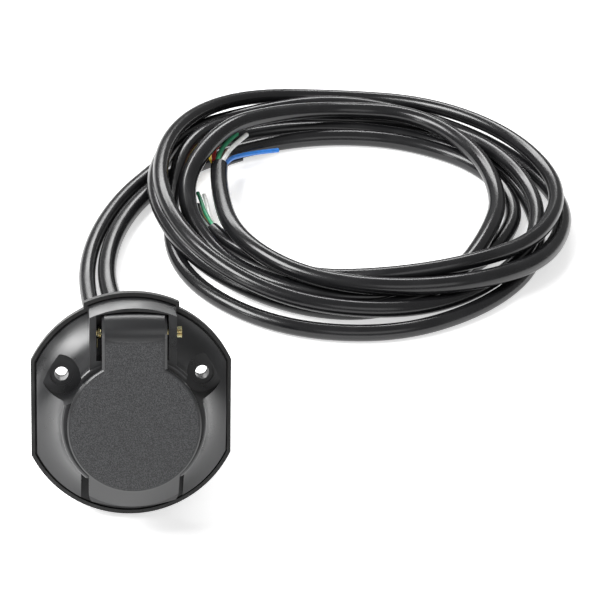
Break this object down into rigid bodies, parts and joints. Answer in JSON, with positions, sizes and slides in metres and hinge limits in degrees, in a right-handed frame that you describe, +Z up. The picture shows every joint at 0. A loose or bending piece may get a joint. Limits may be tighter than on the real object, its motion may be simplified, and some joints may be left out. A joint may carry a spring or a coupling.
{
  "type": "trailer wiring connector",
  "caption": "Round black trailer wiring socket with a sprung hinged lid, flange gasket and rear boot, and two black cables lying in a loose coil with stripped ends.",
  "frame": {"origin": "on the floor under the middle of the socket, cables left out", "axes": "+Z up; the socket faces -Y and leans back 28 degrees; +X to the right seen from the front, along the lid's hinge pin"},
  "size_m": [0.2767, 0.3495, 0.0939],
  "materials": {
    "housing_plastic": "satin moulded nylon",
    "lid_plastic": "fine spark-eroded grain",
    "gasket_rubber": "smooth",
    "boot_rubber": "smooth",
    "cable_jacket": "semi-gloss PVC",
    "zinc_plate": "yellow zinc plate on steel",
    "screw_steel": "bright zinc plate",
    "contact_brass": "bright",
    "insulator": "satin",
    "core_brown": "smooth PVC",
    "core_blue": "smooth PVC",
    "core_white": "smooth PVC",
    "core_green": "smooth PVC",
    "core_red": "smooth PVC",
    "core_yellow": "smooth PVC",
    "core_black": "smooth PVC",
    "core_grey": "smooth PVC"
  },
  "bodies": {
    "socket": {"housing": "housing_plastic", "flange_gasket": "gasket_rubber", "hinge_pin": "zinc_plate", "lid_spring": "zinc_plate", "contact_carrier": "insulator", "carrier_seal": "gasket_rubber", "carrier_screws": "screw_steel", "rear_boot": "boot_rubber", "inner_cores_a": "core_white", "inner_cores_b": "core_white", "cable_a_lead": "cable_jacket", "cable_b_lead": "cable_jacket", "cable_coil": "cable_jacket", "contact_01": "contact_brass", "contact_02": "contact_brass", "contact_03": "contact_brass", "contact_04": "contact_brass", "contact_05": "contact_brass", "contact_06": "contact_brass", "contact_07": "contact_brass", "contact_08": "contact_brass", "contact_09": "contact_brass", "contact_10": "contact_brass", "contact_11": "contact_brass", "contact_12": "contact_brass", "contact_13": "contact_brass", "core_a_brown": "core_brown", "core_a_blue": "core_blue", "core_a_white": "core_white", "core_a_green": "core_green", "core_a_red": "core_red", "core_a_yellow": "core_yellow", "core_a_black": "core_black", "core_b_black": "core_black", "core_b_white": "core_white", "core_b_green": "core_green", "core_b_grey": "core_grey", "core_b_brown": "core_brown", "core_b_yellow": "core_yellow"},
    "lid": {"lid": "lid_plastic", "lid_seal": "gasket_rubber"}
  },
  "joints": [
    {"name": "lid_hinge", "type": "hinge", "parent": "socket", "child": "lid", "pos_m": [0, -0.0193, 0.08501], "axis": [-1, 0, 0], "range_deg": [0, 100], "stiffness_Nm_per_rad": 0.03, "springref_deg": -57.3}
  ]
}
